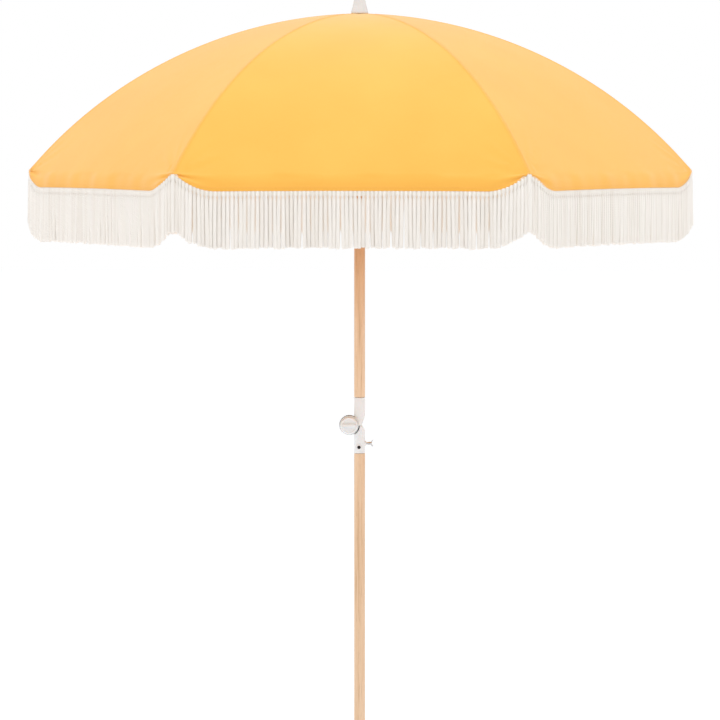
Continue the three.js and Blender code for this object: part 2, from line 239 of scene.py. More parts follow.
def make_cloth(name, light, deep, sheen):
    finish = Finish(name, light, 0.78, Sheen_Weight=sheen, Sheen_Roughness=0.45,
                    Specular_IOR_Level=0.32)
    flat = finish.coords(uv=True)
    slub = finish.noise(finish.coords(uv=True, scale=(1, 14, 1)), 60, 4)
    cross = finish.noise(finish.coords(uv=True, scale=(14, 1, 1)), 60, 4)
    both = finish.math("MULTIPLY_ADD", slub, 0.5, finish.math("MULTIPLY", cross, 0.5))
    dye = finish.noise(finish.coords(), 5.0, 2)
    mix = finish.math("MULTIPLY_ADD", both, 0.55, finish.math("MULTIPLY", dye, 0.45))
    finish.colour(finish.ramp(mix, [(0.34, deep), (0.66, light)]))
    finish.rough(finish.math("MULTIPLY_ADD", both, 0.12, 0.72))
    crumple = finish.bump(finish.noise(finish.coords(), 16, 3), 0.0025, 0.35)
    threads = weave(finish, flat, THREAD, 0.00008)
    finish.put(threads.node.inputs["Normal"], crumple)
    finish.normal(threads)
    return finish.material


canopy_cloth = make_cloth("canopy_cloth", (0.92, 0.480, 0.080), (0.88, 0.440, 0.064), 0.40)
print("cloth thread pitch", THREAD)

# %% [markdown]
# ## Cotton cord of the fringe
# Each fringe cord is three soft strands twisted together. The strands show as slanting ridges,
# drawn from the cord's own UV map: around in U, down in V. The grooves between the strands are
# also drawn darker in colour, which is painted shade. A value stored on every cord shifts its
# tone a little, as undyed cotton varies from cord to cord.

# %% Fringe cord, header tape and thread
CORD_TWIST = 75.0


def make_cord():
    finish = Finish("fringe_cotton", (0.92, 0.87, 0.78), 0.9, Sheen_Weight=0.3,
                    Sheen_Roughness=0.6, Specular_IOR_Level=0.2)
    split = finish.add("SeparateXYZ", {0: finish.coords(uv=True)})
    slant = finish.math("MULTIPLY_ADD", split.outputs[1], CORD_TWIST, split.outputs[0])
    strand = finish.math("ABSOLUTE", finish.math("SINE", finish.math("MULTIPLY", slant, 3 * pi)))
    fibre = finish.noise(finish.coords(scale=(1, 1, 0.25)), 900, 3)
    tint = finish.add("Attribute", attribute_name="cord_tint").outputs["Fac"]
    # Painted shade: the grooves between strands are darker in colour; the stored cord tint is real
    # variation of the cotton.
    level = finish.math("MULTIPLY_ADD", strand, 0.70, finish.math("MULTIPLY", tint, 0.30))
    finish.colour(finish.ramp(level, [(0.0, (0.74, 0.66, 0.57)), (0.35, (0.90, 0.84, 0.77)),
                                      (0.8, (0.96, 0.92, 0.87))]))
    ridge = finish.bump(strand, 0.0011, 0.9)
    finish.normal(finish.bump(fibre, 0.0003, 0.5, ridge))
    return finish.material


def make_tape():
    finish = Finish("header_tape", (0.93, 0.89, 0.81), 0.9, Sheen_Weight=0.2,
                    Specular_IOR_Level=0.2)
    split = finish.add("SeparateXYZ", {0: finish.coords(uv=True)})
    ribs = finish.math("SINE", finish.math("MULTIPLY", split.outputs[0], 2 * pi / 0.0024))
    rows = finish.math("SINE", finish.math("MULTIPLY", split.outputs[1], 2 * pi / 0.0018))
    # Painted shade: the dips of the ribbing and rows are drawn darker in colour, as well as lower in
    # the bump.
    level = finish.math("MULTIPLY_ADD", finish.math("MULTIPLY", ribs, rows), 0.5, 0.5)
    finish.colour(finish.ramp(level, [(0.1, (0.78, 0.71, 0.62)), (0.7, (0.91, 0.86, 0.79))]))
    finish.normal(finish.bump(level, 0.0005, 0.7))
    return finish.material


def make_thread(name, colour):
    finish = Finish(name, colour, 0.6, Sheen_Weight=0.2)
    finish.normal(finish.bump(finish.noise(finish.coords(), 3000, 2), 0.0001, 0.4))
    return finish.material


fringe_cotton = make_cord()
header_tape_cotton = make_tape()
yellow_thread = make_thread("yellow_thread", (0.86, 0.44, 0.09))
binding_cloth = make_cloth("binding_cloth", (0.86, 0.46, 0.10), (0.78, 0.39, 0.07), 0.15)
print("cord, tape and thread ready")

# %% [markdown]
# ## Wood of the poles
# The poles are turned from a light hardwood and varnished. Growth lines run the whole length,
# so the noise that draws them is stretched along Z about sixty times. Short dark pores sit in
# the lines, and a clear coat lies over all of it. From 1.24 m up the colour is darkened and
# warmed: painted shade and painted orange bounce light from the canopy above.

# %% Varnished wood


def make_wood():
    finish = Finish("pole_wood", (0.75, 0.52, 0.31), 0.42, Coat_Weight=0.35, Coat_Roughness=0.22,
                    Specular_IOR_Level=0.45)
    lines = finish.noise(finish.coords(scale=(1, 1, 0.022)), 190, 5, 0.6)
    broad = finish.noise(finish.coords(scale=(1, 1, 0.05)), 42, 3)
    pores = finish.noise(finish.coords(scale=(1, 1, 0.03)), 900, 2)
    tone = finish.math("MULTIPLY_ADD", lines, 0.6, finish.math("MULTIPLY", broad, 0.4))
    wood = finish.ramp(tone, [(0.30, (0.54, 0.33, 0.17)), (0.45, (0.74, 0.51, 0.32)),
                              (0.60, (0.82, 0.60, 0.41)), (0.78, (0.72, 0.48, 0.29))])
    specks = finish.ramp(pores, [(0.30, (0.62, 0.55, 0.50)), (0.40, (1, 1, 1))])
    # Painted shade: the wood is darkened and warmed towards the top, standing for the canopy's
    # shadow and its orange bounce light.
    height = finish.add("SeparateXYZ", {0: finish.coords()}).outputs[2]
    shaded = finish.add("MapRange", {"Value": height, "From Min": 1.24, "From Max": 1.50})
    canopy_shade_tint = finish.ramp(shaded.outputs[0], [(0.0, (1, 1, 1)), (0.6, (0.93, 0.85, 0.76)),
                                            (1.0, (0.78, 0.62, 0.46))])
    for tone_map, share in ((specks, 0.6), (canopy_shade_tint, 1.0)):
        mixed = finish.add("Mix", {"Factor": share}, data_type="RGBA", blend_type="MULTIPLY")
        finish.put(mixed.inputs[6], wood)
        finish.put(mixed.inputs[7], tone_map)
        wood = mixed.outputs[2]
    finish.colour(wood)
    finish.rough(finish.math("MULTIPLY_ADD", broad, 0.2, 0.32))
    finish.normal(finish.bump(pores, 0.0002, 0.5))
    return finish.material


pole_wood = make_wood()
print("wood ready")

# %% [markdown]
# ## Plastic and metal
# The joint, finial, hub and runner are moulded white plastic with a fine satin skin and a few
# rub marks. The finial's copy is greyer, as painted shade that holds down the strong light of
# the top lamp just above it. The ribs and stretchers are white powder coat, which has an
# orange-peel surface. Screws and springs are zinc plated, with faint brushing.

# %% Moulded plastic, powder coat and plated steel


def make_plastic(name, colour, worn):
    finish = Finish(name, colour, 0.42, Subsurface_Weight=0.05, Subsurface_Scale=0.004)
    smudge = finish.noise(finish.coords(), 55, 4)
    rub = finish.noise(finish.coords(scale=(1, 1, 0.35)), 260, 3)
    finish.colour(finish.ramp(smudge, [(0.30, worn), (0.55, colour)]))
    finish.rough(finish.math("MULTIPLY_ADD", rub, 0.22, 0.30))
    finish.normal(finish.bump(finish.noise(finish.coords(), 1400, 2), 0.00006, 0.5))
    return finish.material


def make_powder_coat():
    finish = Finish("rib_paint", (0.82, 0.82, 0.80), 0.4)
    peel = finish.noise(finish.coords(), 700, 2)
    grime = finish.noise(finish.coords(), 30, 4)
    finish.colour(finish.ramp(grime, [(0.28, (0.66, 0.65, 0.62)), (0.5, (0.84, 0.84, 0.82))]))
    finish.normal(finish.bump(peel, 0.00012, 0.5))
    return finish.material


def make_steel(name, colour, roughness):
    finish = Finish(name, colour, roughness, Metallic=1.0)
    brushed = finish.noise(finish.coords(scale=(1, 1, 12)), 500, 3)
    spots = finish.noise(finish.coords(), 130, 4)
    finish.colour(finish.ramp(spots, [(0.3, tuple(0.75 * c for c in colour)), (0.55, colour)]))
    finish.rough(finish.math("MULTIPLY_ADD", brushed, 0.25, roughness - 0.1))
    finish.normal(finish.bump(brushed, 0.00005, 0.4))
    return finish.material


white_plastic = make_plastic("white_plastic", (0.79, 0.80, 0.81), (0.74, 0.75, 0.76))
# Painted shade: the finial's plastic is a greyer copy of the white plastic, to hold down the top
# lamp's strong light on it.
shaded_finial_plastic = make_plastic("shaded_finial_plastic", (0.69, 0.715, 0.745), (0.64, 0.665, 0.69))
rib_paint = make_powder_coat()
zinc_steel = make_steel("zinc_steel", (0.66, 0.67, 0.69), 0.34)
dark_steel = make_steel("dark_steel", (0.035, 0.033, 0.035), 0.45)
# Near-black fibre: partly the washer's own dark colour, partly painted shade for the shadowed gap in
# the joint.
friction_fibre = make_plastic("friction_fibre", (0.030, 0.030, 0.032), (0.02, 0.02, 0.02))
print(len(bpy.data.materials), "materials")

# %% [markdown]
# ## Shape of the dome
# All six ribs follow one arc of 1.2 m radius. A panel is the surface that straight threads make
# between two such ribs, with a slight puff where the wind side fills it. Below the rib tips the
# cloth turns over into a short skirt that hangs nearly upright. The skirt has its full length
# in the middle of a panel and none at the rib tips, so the hem rises to a rounded peak there.

# %% Dome, panel line and skirt
CANOPY_R = 0.9
DOME_RHO = 1.2
DOME_TILT = radians(0.75)
CLOTH_TOP = 2.1195
CLOTH_T = 0.0012
SKIRT = 0.048
SKIRT_END = radians(86)
PEAK_SHARE = 0.26
PEAK_ROUND = 0.06
PUFF = 0.005
ARC_R = -DOME_RHO * sin(DOME_TILT)
ARC_Z = CLOTH_TOP - DOME_RHO * cos(DOME_TILT)
TAN30 = tan(radians(30))
COS30 = cos(radians(30))


def arc_angle(r, depth=0.0):
    return math.asin((r - ARC_R) / (DOME_RHO - depth))


def arc_point(angle, depth=0.0):
    return (ARC_R + (DOME_RHO - depth) * sin(angle), ARC_Z + (DOME_RHO - depth) * cos(angle))


RIM = arc_angle(CANOPY_R)
TOP = arc_angle(0.009)


def skirt_share(across):
    x = min(1.0, (1 - abs(across)) / PEAK_SHARE)
    y = (1 + PEAK_ROUND) * x * x / (x + PEAK_ROUND)
    return y * (2 - y)


def panel_line(v, across):
    """Distance out, height and slope of a panel. v runs 0 to 1 down the arc and 1 to 2 down
    the skirt; across runs -1 to 1 from rib to rib."""
    angle = TOP + (RIM - TOP) * min(1.0, v)
    r, z = arc_point(angle)
    slope = math.atan2(sin(angle), cos(angle) * COS30)
    swell = PUFF * (1 - across * across) * min(1.0, v) ** 3
    s = r * COS30 + swell * sin(slope)
    z += swell * cos(slope)
    start, length = slope, SKIRT * skirt_share(across) * max(0.0, v - 1)
    steps = 12 if length > 0 else 0
    for k in range(steps):
        slope = start + (SKIRT_END - start) * min(1.0, (k + 0.5) / steps * length / 0.036)
        s += cos(slope) * length / steps
        z -= sin(slope) * length / steps
    return s, z, slope


def panel_turn(k):
    return Matrix.Rotation(radians(60 * (k - 1) + 30), 4, "Z")


mid_hem = panel_line(2, 0)
print("hem in the middle of a panel", [round(x, 4) for x in mid_hem[:2]])

# %% [markdown]
# ## Helpers for meshes
# A piece is made at its place, its modifiers are baked into the mesh, and only then is it given
# to a body. Grids carry a UV map in metres, so that weave and ribbing keep their scale.

# %% Mesh helpers


def link(name, mesh, material):
    mesh.materials.clear()
    if material is not None:
        mesh.materials.append(material)
    made = bpy.data.objects.new(name, mesh)
    bpy.context.scene.collection.objects.link(made)
    return made


def bake(piece):
    """Replace a piece's mesh by what its modifiers make of it."""
    bpy.context.view_layer.update()
    graph = bpy.context.evaluated_depsgraph_get()
    mesh = bpy.data.meshes.new_from_object(piece.evaluated_get(graph))
    piece.modifiers.clear()
    piece.data = mesh
    return piece


def smooth(piece, angle=35):
    piece.data.shade_smooth()
    piece.data.set_sharp_from_angle(angle=radians(angle))
    return piece


def grid_piece(name, points, uvs, material, turn=None):
    """A sheet from a grid of points, given as rows of (x, y, z) and rows of (u, v)."""
    rows, columns = len(points), len(points[0])
    mesh = bpy.data.meshes.new(name)
    corners = [p for row in points for p in row]
    faces = [(i * columns + j, (i + 1) * columns + j, (i + 1) * columns + j + 1, i * columns + j + 1)
             for i in range(rows - 1) for j in range(columns - 1)]
    mesh.from_pydata(corners, [], faces)
    layer = mesh.uv_layers.new(name="UVMap")
    flat = [uv for row in uvs for uv in row]
    for loop in mesh.loops:
        layer.data[loop.index].uv = flat[loop.vertex_index]
    if turn is not None:
        mesh.transform(turn)
    mesh.shade_smooth()
    return link(name, mesh, material)


def thicken(piece, thickness, offset=-1.0):
    shell = piece.modifiers.new("wall", "SOLIDIFY")
    shell.thickness = thickness
    shell.offset = offset
    shell.use_even_offset = True
    return bake(piece)


# %% [markdown]
# ## Canopy panels
# Each panel is one sewn piece of cloth. Its blank follows the dome; on top of that come the
# things that make cloth look like cloth: a folded hem that stands a little proud, a felled seam
# along each rib, small pinched folds that run away from each rib tip, and soft slack in the
# skirt. The folds are sums of sines whose phase turns from panel to panel, so no two are alike.

# %% Build the six panels
ARC_ROWS = 84
SKIRT_ROWS = 22
COLUMNS = 110
SEAM_W = 0.006
HEM_W = 0.011
PANEL_GAP = 0.00005


def panel_rows():
    return ([i / ARC_ROWS for i in range(ARC_ROWS)]
            + [1 + i / SKIRT_ROWS for i in range(SKIRT_ROWS + 1)])


def across_at(j, columns=COLUMNS):
    x = 2 * j / columns - 1
    return 0.55 * x + 0.45 * sin(x * pi / 2)


def step(x, low, high):
    t = min(1.0, max(0.0, (x - low) / (high - low)))
    return t * t * (3 - 2 * t)


def cloth_relief(v, across, z, half, k):
    """Height of folds, seam and hem above the smooth panel, in metres."""
    edge = half * (1 - abs(across))
    side = 1 if across > 0 else -1
    seam = 0.0007 * (1 - step(edge, SEAM_W * 0.8, SEAM_W * 1.1))
    hem_edge = step(SKIRT * skirt_share(across) * (2 - v), HEM_W * 0.9, HEM_W * 1.15)
    hem = 0.0006 * (1 - hem_edge) * step(v, 0.97, 1.0)
    tip_z = ARC_Z + DOME_RHO * cos(RIM)
    away = math.hypot(edge, z - tip_z)
    turn = math.atan2(z - tip_z, edge)
    phase = 1.7 * k + side
    pinch = 0.0019 * sin(13 * turn + phase) + 0.0011 * sin(23 * turn - 2 * phase)
    pinch *= step(edge, 0.0, 0.012) * (1 - step(away, 0.03, 0.15)) * cos(turn) ** 2
    t = across * half
    slack = 0.0016 * sin(t * 17 + phase) + 0.0010 * sin(t * 41 - phase) + 0.0006 * sin(t * 83)
    slack *= step(v, 0.93, 1.35) * (1 - step(abs(across), 0.86, 0.98))
    pull = 0.0012 * sin(t * 9 + 2.1 * k) * step(v, 0.15, 0.6) * (1 - across * across)
    return seam + hem + pinch + slack + pull


def make_panel(k):
    points, uvs = [], []
    run = 0.0
    before = None
    for v in panel_rows():
        row, uv_row = [], []
        here = panel_line(v, 0)
        run += 0.0 if before is None else math.hypot(here[0] - before[0], here[1] - before[1])
        before = here
        for j in range(COLUMNS + 1):
            across = across_at(j)
            s, z, slope = panel_line(v, across)
            half = s * TAN30 - PANEL_GAP
            up = cloth_relief(v, across, z, half, k)
            s += up * sin(slope)
            z += up * cos(slope)
            row.append((s, across * (s * TAN30 - PANEL_GAP), z))
            uv_row.append((across * half, run))
        points.append(row)
        uvs.append(uv_row)
    cloth = grid_piece(f"panel_cloth_{k}", points, uvs, canopy_cloth, panel_turn(k))
    return thicken(cloth, CLOTH_T, -1.0)


panels = [make_panel(k) for k in range(1, 7)]
print("canopy panels", len(panels), "with", len(panels[0].data.polygons), "faces each")

# %% [markdown]
# ## Stitches
# The same small node tree sews every line: it spaces points along a path, lays one flattened
# bead on each and turns it along the path. A stitch is 3 mm long with a gap of 1 mm, as on real
# awning seams.

# %% Stitch tree
STITCH_PITCH = 0.0042


def tree_with(name, inputs):
    """An empty geometry tree with named inputs; returns the tree and its two end nodes."""
    tree = bpy.data.node_groups.new(name, "GeometryNodeTree")
    tree.interface.new_socket("Geometry", in_out="INPUT", socket_type="NodeSocketGeometry")
    for label, kind, value in inputs:
        made = tree.interface.new_socket(label, in_out="INPUT", socket_type="NodeSocket" + kind)
        if value is not None:
            made.default_value = value
    tree.interface.new_socket("Geometry", in_out="OUTPUT", socket_type="NodeSocketGeometry")
    return tree, tree.nodes.new("NodeGroupInput"), tree.nodes.new("NodeGroupOutput")


def join_up(tree, pairs):
    for source, target in pairs:
        tree.links.new(source, target)


def set_input(modifier, label, value):
    """Give a modifier's input its value through the socket's identifier."""
    for item in modifier.node_group.interface.items_tree:
        if item.item_type == "SOCKET" and item.in_out == "INPUT" and item.name == label:
            modifier[item.identifier] = value


def stitch_tree():
    tree, start, end = tree_with("sewn_line", [
        ("Pitch", "Float", STITCH_PITCH), ("Length", "Float", 0.0031), ("Width", "Float", 0.0007),
        ("Thread", "Material", None)])
    curve = tree.nodes.new("GeometryNodeMeshToCurve")
    spaced = tree.nodes.new("GeometryNodeResampleCurve")
    spaced.mode = "LENGTH"
    tangent = tree.nodes.new("GeometryNodeInputTangent")
    facing = tree.nodes.new("FunctionNodeAlignRotationToVector")
    facing.axis = "X"
    bead = tree.nodes.new("GeometryNodeMeshUVSphere")
    bead.inputs["Segments"].default_value = 6
    bead.inputs["Rings"].default_value = 4
    bead.inputs["Radius"].default_value = 0.5
    size = tree.nodes.new("ShaderNodeCombineXYZ")
    place = tree.nodes.new("GeometryNodeInstanceOnPoints")
    real = tree.nodes.new("GeometryNodeRealizeInstances")
    paint = tree.nodes.new("GeometryNodeSetMaterial")
    join_up(tree, [
        (start.outputs["Geometry"], curve.inputs[0]),
        (curve.outputs[0], spaced.inputs["Curve"]),
        (start.outputs["Pitch"], spaced.inputs["Length"]),
        (spaced.outputs[0], place.inputs["Points"]),
        (bead.outputs["Mesh"], place.inputs["Instance"]),
        (tangent.outputs[0], facing.inputs["Vector"]),
        (facing.outputs[0], place.inputs["Rotation"]),
        (start.outputs["Length"], size.inputs[0]),
        (start.outputs["Width"], size.inputs[1]),
        (start.outputs["Width"], size.inputs[2]),
        (size.outputs[0], place.inputs["Scale"]),
        (place.outputs[0], real.inputs[0]),
        (real.outputs[0], paint.inputs["Geometry"]),
        (start.outputs["Thread"], paint.inputs["Material"]),
        (paint.outputs[0], end.inputs[0])])
    return tree


SEWN_LINE = stitch_tree()


def sew(name, lines, thread, turn=None):
    """Stitches along one or more lines of points, as one plain mesh."""
    corners, edges = [], []
    for line in lines:
        first = len(corners)
        corners += line
        edges += [(first + i, first + i + 1) for i in range(len(line) - 1)]
    mesh = bpy.data.meshes.new(name)
    mesh.from_pydata(corners, edges, [])
    if turn is not None:
        mesh.transform(turn)
    seam = link(name, mesh, thread)
    nodes = seam.modifiers.new("stitches", "NODES")
    nodes.node_group = SEWN_LINE
    set_input(nodes, "Thread", thread)
    return smooth(bake(seam), 60)


def on_panel(v, across, lift, k):
    """A point that lies a little above the finished cloth."""
    s, z, slope = panel_line(v, across)
    half = s * TAN30
    up = cloth_relief(v, across, z, half, k) + lift
    return (s + up * sin(slope), across * (s * TAN30), z + up * cos(slope))


def hem_line(k, inset):
    """A line that keeps its distance from the hem, and rounds off near the rib tips."""
    line = []
    for j in range(221):
        across = -0.992 + 1.984 * j / 220
        length = SKIRT * skirt_share(across)
        if length > inset:
            v = 2 - inset / length
        else:
            v = 1 - (inset - length) / (DOME_RHO * (RIM - TOP))
        line.append(on_panel(v, across, 0.0008, k))
    return line


def seam_line(k, side, inset):
    line = []
    for i in range(181):
        v = 0.035 + 0.955 * i / 180
        half = panel_line(v, side)[0] * TAN30
        line.append(on_panel(v, side * (1 - inset / half), 0.0005, k))
    return line


def make_stitching(k):
    lines = [hem_line(k, 0.0095), hem_line(k, 0.0025),
             seam_line(k, 1, 0.0042), seam_line(k, -1, 0.0042)]
    return sew(f"panel_stitching_{k}", lines, yellow_thread, panel_turn(k))


stitching = [make_stitching(k) for k in range(1, 7)]
print("stitching", sum(len(s.data.polygons) for s in stitching), "faces")

# %% [markdown]
# ## Fringe
# The fringe is sold by the metre: a woven header tape with a row of thick twisted cords hanging
# from it. The tape is sewn behind the hem, so it follows the peaks at the rib tips. The heads of
# the cords lie on the tape, the cords are thin just below it, where a row of stitches binds a
# real fringe, and there they leave small dark eyes between them before they swell and touch. A
# node tree hangs one of four given cords at every step along the hem, turned, stretched and
# tinted at random from a fixed seed.

# %% Header tape
FRINGE_L = 0.148
TAPE_H = 0.0125
TAPE_BACK = 0.0028
FRINGE_GAP = 0.0004
CORD_PITCH = 0.0107


def hem_at(across, k):
    """A point of the fringe's line: the lower edge of the cloth, set back behind it."""
    s, z, slope = panel_line(2, across)
    up = cloth_relief(2, across, z, s * TAN30, k) - TAPE_BACK
    s += up * sin(slope)
    z += up * cos(slope)
    return (s, across * (s * TAN30 - FRINGE_GAP), z)


def make_header(k):
    points, uvs, run, last = [], [], 0.0, None
    for j in range(COLUMNS * 2 + 1):
        across = across_at(j, COLUMNS * 2)
        s, t, z = hem_at(across, k)
        run += 0 if last is None else (Vector((s, t, z)) - last).length
        last = Vector((s, t, z))
        column = [(s, t, z + 0.003 - (TAPE_H + 0.003) * i / 4) for i in range(5)]
        points.append(column)
        uvs.append([(run, -0.004 * i) for i in range(5)])
    tape = grid_piece(f"fringe_header_{k}", points, uvs, header_tape_cotton, panel_turn(k))
    return thicken(tape, 0.0030, 0.0)


headers = [make_header(k) for k in range(1, 7)]
print("header tapes", len(headers))

# %% Four cord shapes
CORD_SIDES = 8
CORD_L = FRINGE_L - 0.0015


def cord_blank(name, sway, phase):
    """One hanging cord from its head at z = 0, past its binding, down to its soft end."""
    mesh = bpy.data.meshes.new(name)
    build = bmesh.new()
    uv_layer = build.loops.layers.uv.new("UVMap")
    heights = [0, 0.002, 0.008, 0.0125, 0.0155, 0.0215, 0.046, 0.072, 0.100, 0.124,
               CORD_L - 0.004, CORD_L]
    widths = [0.0032, 0.0046, 0.0050, 0.0046, 0.0033, 0.0052, 0.0055, 0.0054, 0.0055, 0.0054,
              0.0056, 0.0040]
    rings = []
    for h, w in zip(heights, widths):
        drop = h / CORD_L
        x = sway * sin(2.4 * drop + phase) * drop
        y = sway * 0.7 * cos(1.9 * drop + phase) * drop
        rings.append([build.verts.new((x + w * cos(2 * pi * i / CORD_SIDES),
                                       y + w * sin(2 * pi * i / CORD_SIDES), -h))
                      for i in range(CORD_SIDES)])
    for r in range(len(rings) - 1):
        for i in range(CORD_SIDES):
            j = (i + 1) % CORD_SIDES
            face = build.faces.new((rings[r][i], rings[r + 1][i], rings[r + 1][j], rings[r][j]))
            corners = [(i, r), (i, r + 1), (i + 1, r + 1), (i + 1, r)]
            for loop, (u, q) in zip(face.loops, corners):
                loop[uv_layer].uv = (u / CORD_SIDES, heights[q])
    build.faces.new(rings[-1][::-1])
    build.faces.new(rings[0])
    build.normal_update()
    build.to_mesh(mesh)
    build.free()
    mesh.shade_smooth()
    return mesh


cord_store = bpy.data.collections.new("cord_store")
for number, (sway, phase) in enumerate([(0.0012, 0.3), (0.0018, 1.9), (-0.0015, 3.1),
                                        (0.0010, 4.6)]):
    blank = cord_blank(f"cord_blank_{number}", sway, phase)
    cord_store.objects.link(bpy.data.objects.new(f"cord_blank_{number}", blank))

# %% Fringe tree


def fringe_tree():
    tree, start, end = tree_with("hanging_cords", [
        ("Pitch", "Float", CORD_PITCH), ("Cords", "Collection", None), ("Seed", "Int", 1),
        ("Shortest", "Float", 0.975), ("Longest", "Float", 1.010), ("Cotton", "Material", None)])
    curve = tree.nodes.new("GeometryNodeMeshToCurve")
    spaced = tree.nodes.new("GeometryNodeResampleCurve")
    spaced.mode = "LENGTH"
    store = tree.nodes.new("GeometryNodeCollectionInfo")
    store.inputs["Separate Children"].default_value = True
    place = tree.nodes.new("GeometryNodeInstanceOnPoints")
    place.inputs["Pick Instance"].default_value = True
    turn = tree.nodes.new("FunctionNodeRandomValue")
    turn.data_type = "FLOAT_VECTOR"
    turn.inputs[0].default_value = (-0.012, -0.014, 0)
    turn.inputs[1].default_value = (0.012, 0.014, 2 * pi)
    stretch = tree.nodes.new("FunctionNodeRandomValue")
    scale = tree.nodes.new("ShaderNodeCombineXYZ")
    scale.inputs[0].default_value = 1.0
    scale.inputs[1].default_value = 1.0
    shade = tree.nodes.new("FunctionNodeRandomValue")
    keep = tree.nodes.new("GeometryNodeStoreNamedAttribute")
    keep.data_type = "FLOAT"
    keep.domain = "INSTANCE"
    keep.inputs["Name"].default_value = "cord_tint"
    real = tree.nodes.new("GeometryNodeRealizeInstances")
    paint = tree.nodes.new("GeometryNodeSetMaterial")
    join_up(tree, [
        (start.outputs["Geometry"], curve.inputs[0]),
        (curve.outputs[0], spaced.inputs["Curve"]),
        (start.outputs["Pitch"], spaced.inputs["Length"]),
        (spaced.outputs[0], place.inputs["Points"]),
        (start.outputs["Cords"], store.inputs["Collection"]),
        (store.outputs[0], place.inputs["Instance"]),
        (turn.outputs[0], place.inputs["Rotation"]),
        (start.outputs["Seed"], turn.inputs["Seed"]),
        (start.outputs["Seed"], stretch.inputs["Seed"]),
        (start.outputs["Seed"], shade.inputs["Seed"]),
        (start.outputs["Shortest"], stretch.inputs[2]),
        (start.outputs["Longest"], stretch.inputs[3]),
        (stretch.outputs[1], scale.inputs[2]),
        (scale.outputs[0], place.inputs["Scale"]),
        (place.outputs[0], keep.inputs["Geometry"]),
        (shade.outputs[1], keep.inputs["Value"]),
        (keep.outputs[0], real.inputs[0]),
        (real.outputs[0], paint.inputs["Geometry"]),
        (start.outputs["Cotton"], paint.inputs["Material"]),
        (paint.outputs[0], end.inputs[0])])
    return tree


HANGING_CORDS = fringe_tree()


def make_cords(k):
    line = []
    for j in range(241):
        across = -0.995 + 1.99 * j / 240
        s, t, z = hem_at(across, k)
        line.append((s, t, z + 0.0005))
    mesh = bpy.data.meshes.new(f"fringe_cords_{k}")
    mesh.from_pydata(line, [(i, i + 1) for i in range(len(line) - 1)], [])
    mesh.transform(panel_turn(k))
    cords = link(f"fringe_cords_{k}", mesh, fringe_cotton)
    nodes = cords.modifiers.new("cords", "NODES")
    nodes.node_group = HANGING_CORDS
    set_input(nodes, "Cords", cord_store)
    set_input(nodes, "Seed", 11 * k)
    set_input(nodes, "Cotton", fringe_cotton)
    return bake(cords)


fringes = [make_cords(k) for k in range(1, 7)]
print("fringe faces", sum(len(f.data.polygons) for f in fringes))
for blank in list(cord_store.objects):
    bpy.data.objects.remove(blank)
bpy.data.collections.remove(cord_store)

# %% [markdown]
# ## Giving the cloth to its bodies
# A panel rides on its own body, which folds down with the ribs. Real cloth gathers between the
# ribs as they close; here each panel, with everything sewn to it, only gets its own copy of its
# mesh and keeps its full width.


def gather(piece):
    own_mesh(piece)


for k in range(1, 7):
    cloth, thread, tape, cords = panels[k - 1], stitching[k - 1], headers[k - 1], fringes[k - 1]
    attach(cloth, f"panel_body_{k}")
    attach(thread, f"panel_body_{k}")
    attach(tape, f"fringe_body_{k}")
    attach(cords, f"fringe_body_{k}")
    for piece in (cloth, thread, tape, cords):
        gather(piece)
    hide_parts(f"canopy_panel_{k}")
    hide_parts(f"fringe_{k}")

# %% [markdown]
# ## Hard pieces
# Poles, finial, discs and rings are turned on a lathe, so here a profile is spun round Z. The
# joint is moulded: it is put together from rods and slabs, cut with booleans, and then remade
# from small voxels and smoothed. That melts the edges a little, as a mould with soft corners
# does. Small steel and plastic pieces whose form is already right are copied, merged and given
# a fine bevel that catches the light.

# %% Lathe, slabs and booleans


def turned(name, profile, material, sides=64, closed=False, edge=0.0005, flutes=0, flute=0.0):
    """Spin a profile of (radius, height) round Z, with an optional row of shallow flutes."""
    build = bmesh.new()
    rings = []
    for r, h in profile:
        if r < 1e-7:
            rings.append([build.verts.new((0, 0, h))])
            continue
        ring = []
        for i in range(sides):
            a = 2 * pi * i / sides
            wide = r * (1 - flute * (0.5 - 0.5 * cos(flutes * a)))
            ring.append(build.verts.new((wide * cos(a), wide * sin(a), h)))
        rings.append(ring)
    pairs = list(zip(rings, rings[1:])) + ([(rings[-1], rings[0])] if closed else [])
    for low, high in pairs:
        for i in range(sides):
            j = (i + 1) % sides
            corners = [low[i % len(low)], low[j % len(low)], high[j % len(high)],
                       high[i % len(high)]]
            corners = list(dict.fromkeys(corners))
            if len(corners) > 2:
                build.faces.new(corners)
    bmesh.ops.recalc_face_normals(build, faces=build.faces)
    mesh = bpy.data.meshes.new(name)
    build.to_mesh(mesh)
    build.free()
    piece = link(name, mesh, material)
    if edge:
        soft = piece.modifiers.new("soft_edge", "BEVEL")
        soft.width = edge
        soft.segments = 3
        soft.limit_method = "ANGLE"
        soft.angle_limit = radians(32)
        bake(piece)
    return smooth(piece)


def rod(start, end, radius, sides=64):
    """A plain round bar between two points, used to build and to cut."""
    start, end = Vector(start), Vector(end)
    long = (end - start).length
    bar = turned("bar", [(0, 0), (radius, 0), (radius, long), (0, long)], None, sides, edge=0)
    turn = (end - start).to_track_quat("Z", "Y").to_matrix().to_4x4()
    bar.data.transform(Matrix.Translation(start) @ turn)
    return bar


def slab(outline, y0, y1):
    """A slab from an outline in X and Z, between two values of Y."""
    build = bmesh.new()
    front = [build.verts.new((x, y0, z)) for x, z in outline]
    back = [build.verts.new((x, y1, z)) for x, z in outline]
    build.faces.new(front)
    build.faces.new(back[::-1])
    for i in range(len(outline)):
        j = (i + 1) % len(outline)
        build.faces.new((front[j], front[i], back[i], back[j]))
    bmesh.ops.recalc_face_normals(build, faces=build.faces)
    mesh = bpy.data.meshes.new("slab")
    build.to_mesh(mesh)
    build.free()
    return link("slab", mesh, None)


